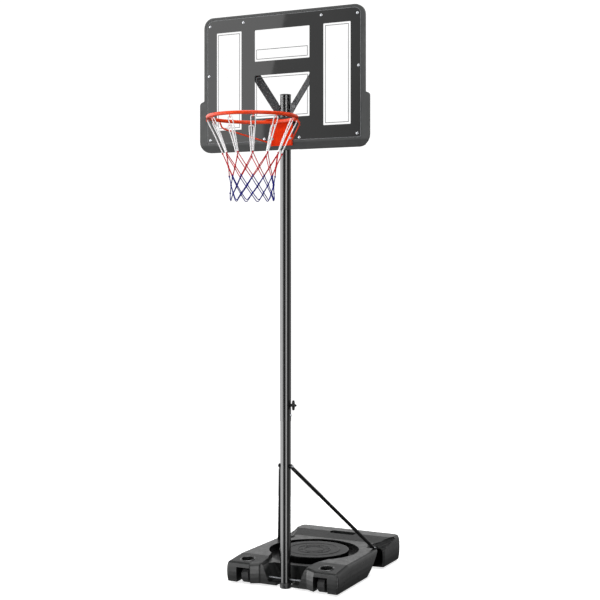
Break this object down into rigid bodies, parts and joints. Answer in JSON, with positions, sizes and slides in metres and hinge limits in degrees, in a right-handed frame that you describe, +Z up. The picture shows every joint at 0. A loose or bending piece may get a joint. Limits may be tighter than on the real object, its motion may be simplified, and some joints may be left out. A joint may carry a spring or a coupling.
{
  "type": "portable basketball hoop",
  "caption": "Portable basketball hoop: wheeled tank base, telescoping steel pole with struts, framed board with clear windows, bracketed rim and netting.",
  "frame": {"origin": "On the ground, under the middle of the hoop's width and depth.", "axes": "+Z is up along the pole. -Y is the way the rim sticks out from the board. +X is to the right as seen from in front of the rim."},
  "size_m": [1.07, 1.5529, 3.2475],
  "materials": {
    "base_plastic": "moulded, lightly grained",
    "frame_plastic": "moulded black plastic, glossy behind the clear sheet",
    "clear_sheet": "clear acrylic sheet, printed black outside its windows",
    "black_paint": "gloss black powder coat on steel",
    "orange_paint": "gloss orange-red powder coat on steel",
    "zinc": "bright zinc-plated steel",
    "cap_plastic": "moulded black plastic",
    "wheel_plastic": "moulded black plastic",
    "net_cord": "braided polyester cord in white, red and blue bands"
  },
  "bodies": {
    "base": {"base_tank": "base_plastic", "axle": "zinc", "axle_retainer_left": "zinc", "axle_retainer_right": "zinc", "lower_pole": "black_paint", "pole_foot": "cap_plastic", "strut_bolt": "zinc", "strut_nut": "zinc", "strut_left": "black_paint", "strut_right": "black_paint", "strut_foot_screw_left": "zinc", "strut_foot_screw_right": "zinc"},
    "lift": {"clamp_nut": "zinc", "guide_screw_left": "zinc", "guide_screw_right": "zinc", "panel_bolt_01": "zinc", "panel_bolt_02": "zinc", "panel_bolt_03": "zinc", "panel_bolt_04": "zinc", "panel_bolt_05": "zinc", "panel_bolt_06": "zinc", "panel_bolt_07": "zinc", "panel_bolt_08": "zinc", "panel_bolt_09": "zinc", "panel_bolt_10": "zinc", "rim_bolt_1": "zinc", "rim_bolt_2": "zinc", "rim_bolt_3": "zinc", "rim_bolt_4": "zinc", "rim_nut_1": "zinc", "rim_nut_2": "zinc", "rim_nut_3": "zinc", "rim_nut_4": "zinc", "bracket_bolt": "zinc", "bracket_nut": "zinc", "arm_screw_left": "zinc", "arm_screw_right": "zinc", "arm_bolt": "zinc", "arm_nut": "zinc", "middle_pole": "black_paint", "top_pole": "black_paint", "pole_bracket": "black_paint", "arm_left": "black_paint", "arm_right": "black_paint", "pole_cap": "cap_plastic", "rim_ring": "orange_paint", "rim_bracket": "orange_paint", "rim_brace_left": "orange_paint", "rim_brace_right": "orange_paint", "board_frame": "frame_plastic", "board_panel": "clear_sheet", "net": "net_cord"},
    "knob": {"clamp_knob": "cap_plastic"},
    "wheel_left": {"wheel_left": "wheel_plastic"},
    "wheel_right": {"wheel_right": "wheel_plastic"},
    "fill_cap": {"fill_cap": "cap_plastic"}
  },
  "joints": [
    {"name": "height_slide", "type": "slide", "parent": "base", "child": "lift", "axis": [0, 0, 1], "range_m": [-0.22, 0.435]},
    {"name": "clamp_knob_turn", "type": "hinge", "parent": "lift", "child": "knob", "pos_m": [0.045, -0.13875, 1.0325], "axis": [1, 0, 0], "range_deg": [0, 1080]},
    {"name": "wheel_left_spin", "type": "hinge", "parent": "base", "child": "wheel_left", "pos_m": [-0.24, -0.13875, 0.0495], "axis": [1, 0, 0], "continuous": true},
    {"name": "wheel_right_spin", "type": "hinge", "parent": "base", "child": "wheel_right", "pos_m": [0.24, -0.13875, 0.0495], "axis": [1, 0, 0], "continuous": true},
    {"name": "fill_cap_turn", "type": "hinge", "parent": "base", "child": "fill_cap", "pos_m": [-0.21, 0.76125, 0.0745], "axis": [0, 1, 0], "range_deg": [0, 720]}
  ]
}
